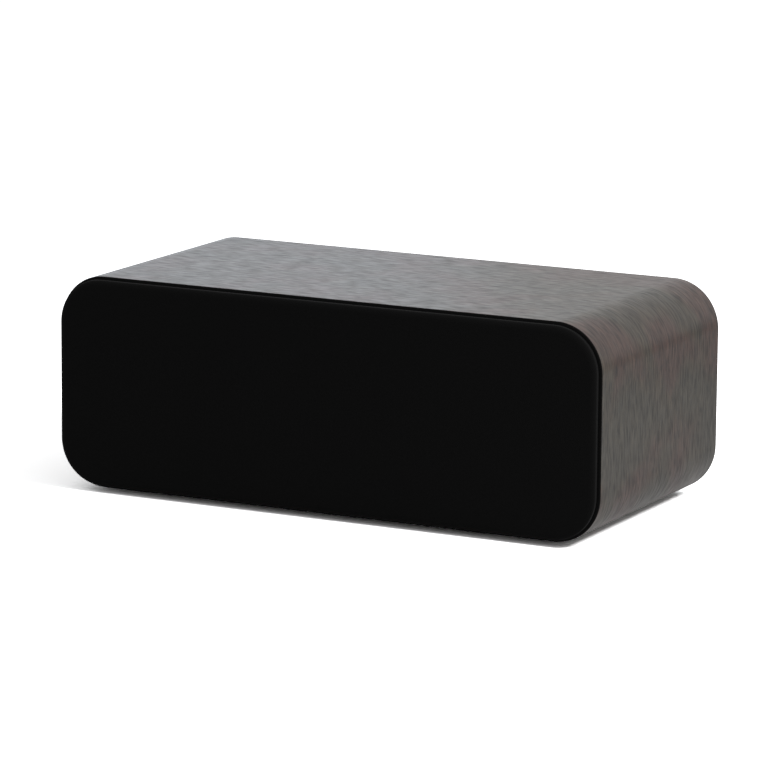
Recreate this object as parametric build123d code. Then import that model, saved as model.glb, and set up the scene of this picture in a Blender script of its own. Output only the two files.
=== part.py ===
from build123d import *
import math
import os

# A centre channel loudspeaker that lies flat: a rounded wood-veneered cabinet with a cloth grille over
# its whole front. Millimetres. X runs along its width, +Y from front to back, +Z up. The origin is
# the middle of the footprint, on the surface that the feet stand on.

# Cabinet
WIDTH = 430.0
HEIGHT = 155.0
DEPTH = 200.0
CORNER_RADIUS = 35.0
WALL = 12.0
WOOD_EDGE_ROUNDING = 0.8
FOOT_HEIGHT = 3.0
FOOT_RADIUS = 9.0
FOOT_EDGE = 0.8
FOOT_INSET_X = 60.0
FOOT_INSET_Y = 32.0
PANEL_CLEARANCE = 0.2

# Baffle and back
BAFFLE_STEP = 2.4
LIP_INSET = 2.8
BAFFLE_THICKNESS = 15.0
REAR_PANEL_THICKNESS = 12.0
REAR_PANEL_RECESS = 4.0

# Grille
GRILLE_INSET = 2.0
GRILLE_DEPTH = 4.0
GRILLE_EDGE_RADIUS = 2.2
CLOTH_THICKNESS = 0.5
CLOTH_RETURN = 9.0
CLOTH_CLEARANCE = 0.05
GRILLE_BORDER = 14.0
GRILLE_BAR = 8.0
PIN_INSET = 25.5
PIN_RADIUS = 2.6
PIN_LENGTH = 8.0
PIN_TIP = 1.0
PIN_BOSS_RADIUS = 7.5
PIN_FIT = 0.05
SOCKET_WALL = 1.9
SOCKET_DEPTH = 10.0

# Woofer, whose depths are counted from the front of its flange
WOOFER_FLANGE_RADIUS = 51.0
WOOFER_FLANGE_THICKNESS = 4.0
WOOFER_WELL = 1.5
FLANGE_RIM = 6.5
LAND_WIDTH = 5.0
SHELF_DEPTH = 1.6
BASKET_WALL = 2.4
SPIDER_SEAT_RADIUS = 27.5
SPIDER_LEDGE = 3.2
SPIDER_DEPTH = 23.0
FRONT_PLATE_DEPTH = 35.0
BASKET_THROAT_RADIUS = 17.0
BASKET_WINDOWS = 6
WINDOW_WIDTH = 22.0
WINDOW_MARGIN = 3.0
ROLL_RADIUS = 3.3
ROLL_THICKNESS = 0.6
CONE_LIP = 2.2
CONE_THICKNESS = 0.8
CONE_DEPTH = 17.5
DUST_CAP_RADIUS = 16.5
DUST_CAP_HEIGHT = 5.5
DUST_CAP_THICKNESS = 0.5
COIL_RADIUS = 12.5
FORMER_THICKNESS = 0.25
WINDING_THICKNESS = 0.45
WINDING_OVERHANG = 3.0
COIL_GAP = 0.4
GLUE_LINE = 0.05
SPIDER_THICKNESS = 0.5
SPIDER_WAVES = 3
SPIDER_WAVE_HEIGHT = 1.6
SPIDER_NECK = 1.2
PLATE_RADIUS = 30.0
PLATE_THICKNESS = 5.0
MAGNET_RADIUS = 32.0
MAGNET_BORE = 16.0
MAGNET_THICKNESS = 12.0
VENT_RADIUS = 4.0
WOOFER_CLEARANCE = 0.3
WOOFER_SCREWS = 4

# Tweeter, whose depths are counted from the front of its faceplate
TWEETER_RADIUS = 36.0
TWEETER_RIM = 7.5
TWEETER_RIM_THICKNESS = 3.0
TWEETER_BODY_DEPTH = 7.4
WAVEGUIDE_MOUTH = 27.0
WAVEGUIDE_DEPTH = 4.6
WAVEGUIDE_MIDDLE_DEPTH = 1.66
TWEETER_THROAT = 16.6
DOME_RADIUS = 12.9
DOME_HEIGHT = 6.0
DOME_THICKNESS = 0.3
DOME_ROLL_RADIUS = 1.6
DOME_LIP = 2.6
DOME_RECESS = 0.4
TWEETER_COIL_RADIUS = 12.35
TWEETER_COIL_GAP = 0.35
TWEETER_COIL_LENGTH = 4.4
TWEETER_PLATE_RADIUS = 26.0
TWEETER_PLATE_THICKNESS = 3.0
TWEETER_MAGNET_RADIUS = 27.5
TWEETER_MAGNET_BORE = 18.0
TWEETER_MAGNET_THICKNESS = 8.0
TWEETER_YOKE_THICKNESS = 4.0
TWEETER_CLEARANCE = 0.3
TWEETER_SCREWS = 4

# Wood screws
SCREW_RADIUS = 1.6
SCREW_HEAD_RADIUS = 2.8
SCREW_HEAD_HEIGHT = 1.6
SCREW_LENGTH = 13.0
SCREW_FIT = 0.05

# Reflex port
PORT_RADIUS = 22.0
PORT_WALL = 2.5
PORT_LENGTH = 85.0
PORT_FLANGE_WIDTH = 10.0
PORT_FLANGE_THICKNESS = 2.8
PORT_FLARE = 7.0
PORT_CLEARANCE = 0.2

# Terminal cup and its binding posts, whose heights are counted from the cup's floor
CUP_WIDTH = 76.0
CUP_HEIGHT = 52.0
CUP_CORNER = 8.0
CUP_WALL = 3.0
CUP_FLOOR = 2.5
CUP_DEPTH = 27.0
CUP_DRAFT = 3.0
CUP_FLANGE = 9.0
CUP_FLANGE_THICKNESS = 2.8
CUP_CLEARANCE = 0.5
POST_SPACING = 19.05
STUD_RADIUS = 3.0
STUD_LENGTH = 20.0
STUD_FIT = 0.04
BANANA_RADIUS = 2.05
BANANA_DEPTH = 14.0
WIRE_HOLE_RADIUS = 1.2
COLLAR_RADIUS = 6.8
COLLAR_HEIGHT = 3.0
CLAMP_RADIUS = 5.0
CLAMP_THICKNESS = 1.0
KNOB_RADIUS = 6.5
KNOB_END_WALL = 1.2
KNOB_END_GAP = 0.3
KNOB_MOUTH_RADIUS = 2.4
KNOB_FLUTES = 8
KNOB_FLUTE_RADIUS = 1.3
KNOB_EDGE = 0.6
NUT_THICKNESS = 4.0
NUT_ACROSS_FLATS = 10.0
STUD_TAIL = 4.0

# Bracing, wadding and crossover
BRACE_THICKNESS = 12.0
BRACE_BACK_GAP = 14.0
BRACE_RAIL = 24.0
BRACE_WINDOW_RADIUS = 16.0
PAD_THICKNESS = 10.0
PAD_WIDTH = 45.0
PAD_LENGTH = 110.0
PAD_CLEARANCE = 0.3
BOARD_LENGTH = 68.0
BOARD_THICKNESS = 1.6
BOARD_SIDE_GAP = 4.0
SPACER_HEIGHT = 6.0
SPACER_RADIUS = 3.5
SPACER_INSET = 6.0
BOARD_SCREW_RADIUS = 1.4
LARGE_COIL = (15.0, 18.0)
SMALL_COIL = (11.0, 14.0)
BOBBIN_FLANGE = 1.5
BOBBIN_BORE = 4.0
BOBBIN_WALL = 1.5
WINDING_INSET = 1.0
CAPACITOR_RADIUS = 6.5
CAPACITOR_LENGTH = 24.0
RESISTOR = (18.0, 8.0, 8.0)
RESISTOR_SETBACK = 2.0
COMPONENT_GAP = 1.0
STRIP = (7.0, 6.0, 13.0)
STRIP_WRAP = 1.0
LEAD_RADIUS = 1.1
LEAD_SPACING = 5.0
LEAD_PITCH_AT_BOARD = 2.8
LEAD_EDGE_GAP = 3.0
LEAD_RISE = 24.0
LEAD_SETBACK = 10.0
LEAD_WINDOW_GAP = 17.6

# Places worked out from the sizes above
GRILLE_PROUD = BAFFLE_STEP + GRILLE_DEPTH
FACE = -(DEPTH + GRILLE_PROUD) / 2
FRONT_EDGE = FACE + GRILLE_PROUD
BACK_EDGE = FRONT_EDGE + DEPTH
BAFFLE_FRONT = FRONT_EDGE - BAFFLE_STEP
BAFFLE_BACK = FRONT_EDGE + BAFFLE_THICKNESS
REAR_OUTSIDE = BACK_EDGE - REAR_PANEL_RECESS
REAR_INSIDE = REAR_OUTSIDE - REAR_PANEL_THICKNESS
MIDDLE = FOOT_HEIGHT + HEIGHT / 2
FLOOR_INSIDE = FOOT_HEIGHT + WALL

DRIVER_GAP = (WIDTH - 2 * WALL - 4 * WOOFER_FLANGE_RADIUS - 2 * TWEETER_RADIUS) / 4
WOOFER_X = TWEETER_RADIUS + DRIVER_GAP + WOOFER_FLANGE_RADIUS
BRACE_X = TWEETER_RADIUS + DRIVER_GAP / 2
WOOFER_FRONT = BAFFLE_FRONT + WOOFER_WELL
SIDES = {"left": -1, "right": 1}

GASKET_RADIUS = WOOFER_FLANGE_RADIUS - FLANGE_RIM
MOUTH_RADIUS = GASKET_RADIUS - LAND_WIDTH
ROLL_CENTRE = MOUTH_RADIUS - ROLL_RADIUS
CONE_RADIUS = ROLL_CENTRE - ROLL_RADIUS
LIP_DEPTH = SHELF_DEPTH - ROLL_THICKNESS
POT_RADIUS = SPIDER_SEAT_RADIUS - SPIDER_LEDGE
FORMER_OUTSIDE = COIL_RADIUS + FORMER_THICKNESS
WINDING_OUTSIDE = FORMER_OUTSIDE + WINDING_THICKNESS
NECK_RADIUS = FORMER_OUTSIDE + GLUE_LINE
NECK_DEPTH = SHELF_DEPTH + CONE_DEPTH
PLATE_BACK = FRONT_PLATE_DEPTH + PLATE_THICKNESS
MAGNET_BACK = PLATE_BACK + MAGNET_THICKNESS
YOKE_BACK = MAGNET_BACK + PLATE_THICKNESS
WINDING_FRONT = FRONT_PLATE_DEPTH - WINDING_OVERHANG
WINDING_BACK = PLATE_BACK + WINDING_OVERHANG
WOOFER_SCREW_CIRCLE = WOOFER_FLANGE_RADIUS - FLANGE_RIM / 2

TWEETER_BODY_RADIUS = TWEETER_RADIUS - TWEETER_RIM
TWEETER_SCREW_CIRCLE = TWEETER_RADIUS - TWEETER_RIM / 2
DOME_BASE = TWEETER_BODY_DEPTH - DOME_RECESS
TWEETER_PLATE_BACK = TWEETER_BODY_DEPTH + TWEETER_PLATE_THICKNESS
TWEETER_MAGNET_BACK = TWEETER_PLATE_BACK + TWEETER_MAGNET_THICKNESS
TWEETER_BACK = TWEETER_MAGNET_BACK + TWEETER_YOKE_THICKNESS

CUP_RIM = REAR_OUTSIDE + CUP_FLANGE_THICKNESS
CUP_FLOOR_OUTSIDE = CUP_RIM - CUP_DEPTH
CUP_BACK = CUP_FLOOR_OUTSIDE - CUP_FLOOR
STUD_BACK = CUP_BACK - NUT_THICKNESS - STUD_TAIL
CLAMP_TOP = COLLAR_HEIGHT + CLAMP_THICKNESS
KNOB_TOP = STUD_LENGTH + KNOB_END_GAP + KNOB_END_WALL
POSTS = {"positive": POST_SPACING / 2, "negative": -POST_SPACING / 2}

BRACE_BACK = STUD_BACK - BRACE_BACK_GAP
BOARD_WIDTH = 2 * (BRACE_X - BRACE_THICKNESS / 2 - BOARD_SIDE_GAP)
BOARD_Y = (BAFFLE_FRONT + TWEETER_BACK + STUD_BACK) / 2
BOARD_TOP = FLOOR_INSIDE + SPACER_HEIGHT + BOARD_THICKNESS
STRIP_X = WOOFER_X - POT_RADIUS - BASKET_WALL - STRIP[0] / 2 + STRIP_WRAP
STRIP_Y = WOOFER_FRONT + FRONT_PLATE_DEPTH - STRIP[1] / 2 - STRIP_WRAP
PORT_X = -WOOFER_X


def outline(inset):
    """The cabinet's outline, drawn in from its outer edge by the inset."""
    corner = CORNER_RADIUS - inset
    return Pos(0, MIDDLE) * RectangleRounded(WIDTH - 2 * inset, HEIGHT - 2 * inset, corner)


def slab(sketch, front, back):
    """A sketch drawn as seen from the front, made solid from one depth to another."""
    return Pos(0, back, 0) * extrude(Plane.XZ * sketch, back - front)


def disc(radius, front, back, x=0.0, z=0.0):
    """A round bar or hole that runs from front to back."""
    return slab(Pos(x, z) * Circle(radius), front, back)


def turned(*edges):
    """A round piece about the depth axis, from half of its section: radius, then depth."""
    return revolve(make_face(edges), Axis.Y)


def cap_arc(radius, height, rim):
    """The arc of a domed cap, from its top on the axis to its rim at the depth given."""
    ball = (radius ** 2 + height ** 2) / (2 * height)
    half = math.asin(radius / ball) / 2
    middle = (ball * math.sin(half), rim - height + ball * (1 - math.cos(half)))
    return ThreePointArc((0, rim - height), middle, (radius, rim))


def ring_of(radius, count):
    """Evenly spaced places on a circle, with none on the level or upright line."""
    angles = [math.radians((i + 0.5) * 360 / count) for i in range(count)]
    return [(radius * math.cos(a), radius * math.sin(a)) for a in angles]


def screw(front, length, radius=SCREW_RADIUS):
    """A countersunk wood screw, head flush with the depth given."""
    cone = front + SCREW_HEAD_HEIGHT
    section = [(0, front), (SCREW_HEAD_RADIUS, front), (radius, cone), (radius, front + length)]
    return turned(Polyline(*section, (0, front + length), close=True))


def screw_hole(front, length):
    """The hole that such a screw fills, with its fit all round."""
    wide = SCREW_HEAD_RADIUS + SCREW_FIT
    narrow = SCREW_RADIUS + SCREW_FIT
    deep = front + SCREW_HEAD_HEIGHT
    section = [(0, front), (wide, front), (narrow, deep), (narrow, front + length + SCREW_FIT)]
    return turned(Polyline(*section, (0, front + length + SCREW_FIT), close=True))


def driver_screw_places():
    """Where the drive units are screwed down: x, front of the head, z."""
    places = []
    for side in SIDES.values():
        for x, z in ring_of(WOOFER_SCREW_CIRCLE, WOOFER_SCREWS):
            places.append((side * WOOFER_X + x, WOOFER_FRONT, MIDDLE + z))
    for x, z in ring_of(TWEETER_SCREW_CIRCLE, TWEETER_SCREWS):
        places.append((x, BAFFLE_FRONT, MIDDLE + z))
    return places


def pin_places():
    """Where the grille's pins enter the baffle."""
    x = WIDTH / 2 - PIN_INSET
    z = HEIGHT / 2 - PIN_INSET
    return [(sx * x, MIDDLE + sz * z) for sx in (-1, 1) for sz in (-1, 1)]


def cabinet_wrap():
    """The wood-veneered band that is top, sides and bottom in one."""
    tube = slab(outline(0) - outline(WALL), FRONT_EDGE, BACK_EDGE)
    rims = tube.faces().filter_by(Axis.Y)
    outer = [face.outer_wire().edges() for face in rims]
    return fillet([edge for wire in outer for edge in wire], WOOD_EDGE_ROUNDING)


def front_baffle():
    """The black front board: a thin lip over the wood's edge, and a plug inside it."""
    lip = slab(outline(LIP_INSET), BAFFLE_FRONT, FRONT_EDGE)
    plug = slab(outline(WALL + PANEL_CLEARANCE), FRONT_EDGE, BAFFLE_BACK)
    board = lip + plug
    seat = WOOFER_FRONT + WOOFER_FLANGE_THICKNESS
    for side in SIDES.values():
        x = side * WOOFER_X
        board -= disc(WOOFER_FLANGE_RADIUS + WOOFER_CLEARANCE, BAFFLE_FRONT, seat, x, MIDDLE)
        board -= disc(MOUTH_RADIUS + BASKET_WALL + WOOFER_CLEARANCE, BAFFLE_FRONT, BAFFLE_BACK, x, MIDDLE)
    seat = BAFFLE_FRONT + TWEETER_RIM_THICKNESS
    board -= disc(TWEETER_RADIUS + TWEETER_CLEARANCE, BAFFLE_FRONT, seat, 0, MIDDLE)
    board -= disc(TWEETER_BODY_RADIUS + TWEETER_CLEARANCE, BAFFLE_FRONT, BAFFLE_BACK, 0, MIDDLE)
    for x, y, z in driver_screw_places():
        board -= disc(SCREW_RADIUS + SCREW_FIT, y, y + SCREW_LENGTH + SCREW_FIT, x, z)
    socket = PIN_RADIUS + PIN_FIT + SOCKET_WALL + PIN_FIT
    for x, z in pin_places():
        board -= disc(socket, BAFFLE_FRONT, BAFFLE_FRONT + SOCKET_DEPTH, x, z)
    return board


def rear_panel():
    """The back board, let in between the wood, with cut-outs for the port and the terminal cup."""
    board = slab(outline(WALL + PANEL_CLEARANCE), REAR_INSIDE, REAR_OUTSIDE)
    board -= disc(PORT_RADIUS + PORT_WALL + PORT_CLEARANCE, REAR_INSIDE, REAR_OUTSIDE, PORT_X, MIDDLE)
    hole = RectangleRounded(CUP_WIDTH + 2 * CUP_CLEARANCE, CUP_HEIGHT + 2 * CUP_CLEARANCE, CUP_CORNER)
    board -= slab(Pos(0, MIDDLE) * hole, REAR_INSIDE, REAR_OUTSIDE)
    for x, z in cup_screw_places():
        depth = SCREW_LENGTH - CUP_FLANGE_THICKNESS
        board -= disc(SCREW_RADIUS + SCREW_FIT, REAR_OUTSIDE - depth - SCREW_FIT, REAR_OUTSIDE, x, z)
    return board


def brace(side):
    """A board across the cabinet beside the tweeter, with a large window for the air."""
    long = BRACE_BACK - BAFFLE_BACK
    tall = HEIGHT - 2 * WALL
    window = RectangleRounded(long - 2 * BRACE_RAIL, tall - 2 * BRACE_RAIL, BRACE_WINDOW_RADIUS)
    sheet = Rectangle(long, tall) - window
    board = extrude(Plane.YZ * sheet, BRACE_THICKNESS / 2, both=True)
    return Pos(side * BRACE_X, (BAFFLE_BACK + BRACE_BACK) / 2, MIDDLE) * board


def damping_pad(side):
    """Soft wadding laid round the inside of one end of the cabinet."""
    outer = WALL + PAD_CLEARANCE
    band = outline(outer) - outline(outer + PAD_THICKNESS)
    keep = Pos(side * (WIDTH / 2 - WALL - PAD_WIDTH / 2), MIDDLE) * Rectangle(PAD_WIDTH, HEIGHT)
    middle = (BAFFLE_BACK + REAR_INSIDE) / 2
    return slab(band & keep, middle - PAD_LENGTH / 2, middle + PAD_LENGTH / 2)


def feet():
    """Four rubber feet under the flat of the cabinet."""
    foot = extrude(Circle(FOOT_RADIUS), FOOT_HEIGHT)
    foot = chamfer(foot.faces().sort_by(Axis.Z)[0].edges(), FOOT_EDGE)
    x = WIDTH / 2 - FOOT_INSET_X
    y = DEPTH / 2 - FOOT_INSET_Y
    middle = (FRONT_EDGE + BACK_EDGE) / 2
    return Part() + [Pos(sx * x, middle + sy * y, 0) * foot for sx in (-1, 1) for sy in (-1, 1)]


def port_tube():
    """The moulded reflex port, its mouth flared into a flange on the back."""
    outside = PORT_RADIUS + PORT_WALL
    rim = REAR_OUTSIDE + PORT_FLANGE_THICKNESS
    inner = rim - PORT_LENGTH
    flange = outside + PORT_FLANGE_WIDTH
    mouth = PORT_RADIUS + PORT_FLARE
    bend = PORT_FLARE * (1 - math.sqrt(0.5))
    flare = ThreePointArc(
        (PORT_RADIUS, rim - PORT_FLARE), (PORT_RADIUS + bend, rim - bend), (mouth, rim))
    wall = Polyline(
        (mouth, rim), (flange, rim), (flange, REAR_OUTSIDE), (outside, REAR_OUTSIDE),
        (outside, inner), (PORT_RADIUS, inner), (PORT_RADIUS, rim - PORT_FLARE))
    return Pos(PORT_X, 0, MIDDLE) * turned(flare, wall)


def grille_frame():
    """The moulded frame behind the cloth: a border, two bars and four pins."""
    inset = GRILLE_INSET + CLOTH_THICKNESS + CLOTH_CLEARANCE
    front = FACE + CLOTH_THICKNESS + CLOTH_CLEARANCE
    back = BAFFLE_FRONT - CLOTH_THICKNESS - CLOTH_CLEARANCE
    plate = slab(outline(inset), front, back)
    rim = plate.faces().sort_by(Axis.Y)[0].outer_wire().edges()
    plate = fillet(rim, GRILLE_EDGE_RADIUS - CLOTH_THICKNESS - CLOTH_CLEARANCE)
    window = outline(inset + GRILLE_BORDER)
    for side in SIDES.values():
        window -= Pos(side * BRACE_X, MIDDLE) * Rectangle(GRILLE_BAR, HEIGHT)
    for x, z in pin_places():
        window -= Pos(x, z) * Circle(PIN_BOSS_RADIUS)
    frame = plate - slab(window, front, back)
    tip = BAFFLE_FRONT + PIN_LENGTH
    for x, z in pin_places():
        pin = disc(PIN_RADIUS, back, tip, x, z)
        frame += chamfer(pin.faces().sort_by(Axis.Y)[-1].edges(), PIN_TIP)
    return frame


def grille_cloth():
    """The black cloth, stretched over the frame and glued down behind its border."""
    block = slab(outline(GRILLE_INSET), FACE, BAFFLE_FRONT)
    rim = block.faces().sort_by(Axis.Y)[0].outer_wire().edges()
    block = fillet(rim, GRILLE_EDGE_RADIUS)
    inside = outline(GRILLE_INSET + CLOTH_THICKNESS)
    hollow = slab(inside, FACE + CLOTH_THICKNESS, BAFFLE_FRONT - CLOTH_THICKNESS)
    rim = hollow.faces().sort_by(Axis.Y)[0].outer_wire().edges()
    hollow = fillet(rim, GRILLE_EDGE_RADIUS - CLOTH_THICKNESS)
    opening = outline(GRILLE_INSET + CLOTH_THICKNESS + CLOTH_RETURN)
    return block - hollow - slab(opening, FACE + CLOTH_THICKNESS, BAFFLE_FRONT)


def grille_sockets():
    """The four rubber cups in the baffle that grip the grille's pins."""
    bore = PIN_RADIUS + PIN_FIT
    back = BAFFLE_FRONT + SOCKET_DEPTH
    cups = []
    for x, z in pin_places():
        cup = disc(bore + SOCKET_WALL, BAFFLE_FRONT, back, x, z)
        cups.append(cup - disc(bore, BAFFLE_FRONT, back, x, z))
    return Part() + cups


def woofer_basket():
    """The moulded chassis: flange, sloping spider-leg wall, ledge for the spider and motor seat."""
    ledge = SPIDER_DEPTH + BASKET_WALL
    pot = POT_RADIUS + BASKET_WALL
    section = [
        (WOOFER_FLANGE_RADIUS, 0),
        (WOOFER_FLANGE_RADIUS, WOOFER_FLANGE_THICKNESS),
        (MOUTH_RADIUS + BASKET_WALL, WOOFER_FLANGE_THICKNESS),
        (SPIDER_SEAT_RADIUS + BASKET_WALL, ledge),
        (pot, ledge),
        (pot, FRONT_PLATE_DEPTH),
        (BASKET_THROAT_RADIUS, FRONT_PLATE_DEPTH),
        (BASKET_THROAT_RADIUS, FRONT_PLATE_DEPTH - BASKET_WALL),
        (POT_RADIUS, FRONT_PLATE_DEPTH - BASKET_WALL),
        (POT_RADIUS, SPIDER_DEPTH),
        (SPIDER_SEAT_RADIUS, SPIDER_DEPTH),
        (MOUTH_RADIUS, WOOFER_FLANGE_THICKNESS),
        (MOUTH_RADIUS, SHELF_DEPTH),
        (GASKET_RADIUS, SHELF_DEPTH),
        (GASKET_RADIUS, 0),
    ]
    basket = turned(Polyline(*section, close=True))
    top = WOOFER_FLANGE_THICKNESS + WINDOW_MARGIN
    tall = SPIDER_DEPTH - WINDOW_MARGIN - top
    cutter = Pos(MOUTH_RADIUS, top + tall / 2, 0) * Box(WOOFER_FLANGE_RADIUS, tall, WINDOW_WIDTH)
    for i in range(BASKET_WINDOWS):
        basket -= Rot(0, (i + 0.5) * 360 / BASKET_WINDOWS, 0) * cutter
    for x, z in ring_of(WOOFER_SCREW_CIRCLE, WOOFER_SCREWS):
        basket -= Pos(x, 0, z) * screw_hole(0, WOOFER_FLANGE_THICKNESS)
    return basket


def woofer_gasket():
    """The foam ring that holds the surround's outer lip down."""
    ring = Circle(GASKET_RADIUS - GLUE_LINE) - Circle(MOUTH_RADIUS + ROLL_THICKNESS)
    return slab(ring, 0, LIP_DEPTH)


def woofer_surround():
    """The half-roll rubber surround between the cone's rim and the basket."""
    outer = ROLL_RADIUS + ROLL_THICKNESS / 2
    inner = ROLL_RADIUS - ROLL_THICKNESS / 2
    reach = math.sqrt(outer ** 2 - ROLL_THICKNESS ** 2)
    back = SHELF_DEPTH
    inside = CONE_RADIUS - CONE_LIP
    outside = GASKET_RADIUS - GLUE_LINE
    under = ThreePointArc(
        (ROLL_CENTRE - inner, back), (ROLL_CENTRE, back - inner), (ROLL_CENTRE + inner, back))
    over = ThreePointArc(
        (ROLL_CENTRE + reach, LIP_DEPTH), (ROLL_CENTRE, back - outer), (ROLL_CENTRE - reach, LIP_DEPTH))
    outer_lip = Polyline(
        (ROLL_CENTRE + inner, back), (outside, back),
        (outside, LIP_DEPTH), (ROLL_CENTRE + reach, LIP_DEPTH))
    inner_lip = Polyline(
        (ROLL_CENTRE - reach, LIP_DEPTH), (inside, LIP_DEPTH),
        (inside, back), (ROLL_CENTRE - inner, back))
    return turned(under, outer_lip, over, inner_lip)


def woofer_cone():
    """The paper cone, with a flat rim that the surround is glued to."""
    rim = CONE_RADIUS - CONE_LIP
    section = [
        (CONE_RADIUS, SHELF_DEPTH),
        (CONE_RADIUS, SHELF_DEPTH + CONE_THICKNESS),
        (rim, SHELF_DEPTH + CONE_THICKNESS),
        (NECK_RADIUS, NECK_DEPTH + CONE_THICKNESS),
        (NECK_RADIUS, NECK_DEPTH),
        (rim, SHELF_DEPTH),
    ]
    return turned(Polyline(*section, close=True))


def woofer_dust_cap():
    """The domed cap that closes the middle of the cone."""
    slope = CONE_DEPTH / (CONE_RADIUS - CONE_LIP - NECK_RADIUS)
    rim = NECK_DEPTH - slope * (DUST_CAP_RADIUS - NECK_RADIUS) - GLUE_LINE
    inside = DUST_CAP_RADIUS - DUST_CAP_THICKNESS
    depth = DUST_CAP_HEIGHT - DUST_CAP_THICKNESS
    over = cap_arc(DUST_CAP_RADIUS, DUST_CAP_HEIGHT, rim)
    under = cap_arc(inside, depth, rim)
    return turned(over, Line(over @ 1, under @ 1), under, Line(under @ 0, over @ 0))


def woofer_voice_coil():
    """The paper former with its copper winding, set in the magnet's gap."""
    front = NECK_DEPTH
    section = [
        (COIL_RADIUS, front),
        (FORMER_OUTSIDE, front),
        (FORMER_OUTSIDE, WINDING_FRONT),
        (WINDING_OUTSIDE, WINDING_FRONT),
        (WINDING_OUTSIDE, WINDING_BACK),
        (COIL_RADIUS, WINDING_BACK),
    ]
    return turned(Polyline(*section, close=True))


def woofer_spider():
    """The corrugated cloth disc that centres the coil."""
    inside = NECK_RADIUS
    outside = SPIDER_SEAT_RADIUS - GLUE_LINE
    first = inside + SPIDER_NECK
    last = SPIDER_SEAT_RADIUS - SPIDER_LEDGE
    step = (last - first) / (2 * SPIDER_WAVES)
    back = [(inside, SPIDER_DEPTH), (first, SPIDER_DEPTH)]
    for i in range(2 * SPIDER_WAVES):
        swing = SPIDER_WAVE_HEIGHT / 2 if i % 2 else -SPIDER_WAVE_HEIGHT / 2
        back.append((first + (i + 0.5) * step, SPIDER_DEPTH + swing))
    back += [(last, SPIDER_DEPTH), (outside, SPIDER_DEPTH)]
    front = [(r, depth - SPIDER_THICKNESS) for r, depth in reversed(back)]
    return turned(Polyline(*back, *front, close=True))


def ring_plate(bore, radius, front, back):
    """A flat steel or ferrite ring."""
    return slab(Circle(radius) - Circle(bore), front, back)


def woofer_yoke():
    """The back plate and its vented pole in one turning."""
    pole = COIL_RADIUS - COIL_GAP
    section = [
        (VENT_RADIUS, FRONT_PLATE_DEPTH),
        (pole, FRONT_PLATE_DEPTH),
        (pole, MAGNET_BACK),
        (PLATE_RADIUS, MAGNET_BACK),
        (PLATE_RADIUS, YOKE_BACK),
        (VENT_RADIUS, YOKE_BACK),
    ]
    return turned(Polyline(*section, close=True))


def woofer_pieces():
    """Every piece of one woofer, its flange's front at depth nought on the depth axis."""
    bore = WINDING_OUTSIDE + COIL_GAP
    return {
        "basket": woofer_basket(),
        "gasket": woofer_gasket(),
        "surround": woofer_surround(),
        "cone": woofer_cone(),
        "dust_cap": woofer_dust_cap(),
        "voice_coil": woofer_voice_coil(),
        "spider": woofer_spider(),
        "front_plate": ring_plate(bore, PLATE_RADIUS, FRONT_PLATE_DEPTH, PLATE_BACK),
        "magnet": ring_plate(MAGNET_BORE, MAGNET_RADIUS, PLATE_BACK, MAGNET_BACK),
        "back_plate": woofer_yoke(),
    }


def tweeter_faceplate():
    """The moulded plate with a shallow waveguide round the dome."""
    mouth = (WAVEGUIDE_MOUTH, 0)
    throat = (TWEETER_THROAT, WAVEGUIDE_DEPTH)
    curve = ThreePointArc(mouth, ((mouth[0] + throat[0]) / 2, WAVEGUIDE_MIDDLE_DEPTH), throat)
    clamp = DOME_RADIUS + 2 * DOME_ROLL_RADIUS + DOME_LIP + DOME_RECESS
    body = Polyline(
        throat, (TWEETER_THROAT, DOME_BASE), (clamp, DOME_BASE), (clamp, TWEETER_BODY_DEPTH),
        (TWEETER_BODY_RADIUS, TWEETER_BODY_DEPTH), (TWEETER_BODY_RADIUS, TWEETER_RIM_THICKNESS),
        (TWEETER_RADIUS, TWEETER_RIM_THICKNESS), (TWEETER_RADIUS, 0), mouth)
    plate = turned(curve, body)
    for x, z in ring_of(TWEETER_SCREW_CIRCLE, TWEETER_SCREWS):
        plate -= Pos(x, 0, z) * screw_hole(0, TWEETER_RIM_THICKNESS)
    return plate


def tweeter_diaphragm():
    """The coated silk dome with its small roll and clamped lip, pressed from one piece."""
    base = DOME_BASE
    back = base + DOME_THICKNESS
    roll = DOME_RADIUS + DOME_ROLL_RADIUS
    foot = roll + DOME_ROLL_RADIUS
    lip = foot + DOME_LIP
    inner = DOME_ROLL_RADIUS - DOME_THICKNESS
    dome = cap_arc(DOME_RADIUS, DOME_HEIGHT, base)
    under = cap_arc(DOME_RADIUS - DOME_THICKNESS, DOME_HEIGHT, back)
    return turned(
        dome,
        ThreePointArc((DOME_RADIUS, base), (roll, base - DOME_ROLL_RADIUS), (foot, base)),
        Polyline((foot, base), (lip, base), (lip, back), (roll + inner, back)),
        ThreePointArc((roll + inner, back), (roll, back - inner), (roll - inner, back)),
        Line((roll - inner, back), under @ 1),
        under,
        Line(under @ 0, dome @ 0))


def tweeter_voice_coil():
    """The tweeter's coil, glued to the foot of the dome."""
    outside = TWEETER_COIL_RADIUS + FORMER_THICKNESS + WINDING_THICKNESS
    front = DOME_BASE + DOME_THICKNESS
    return slab(Circle(outside) - Circle(TWEETER_COIL_RADIUS), front, front + TWEETER_COIL_LENGTH)


def tweeter_yoke():
    """The tweeter's back plate and pole."""
    pole = TWEETER_COIL_RADIUS - TWEETER_COIL_GAP
    front = TWEETER_BODY_DEPTH
    section = [
        (0, front),
        (pole, front),
        (pole, TWEETER_MAGNET_BACK),
        (TWEETER_PLATE_RADIUS, TWEETER_MAGNET_BACK),
        (TWEETER_PLATE_RADIUS, TWEETER_BACK),
        (0, TWEETER_BACK),
    ]
    return turned(Polyline(*section, close=True))


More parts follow.
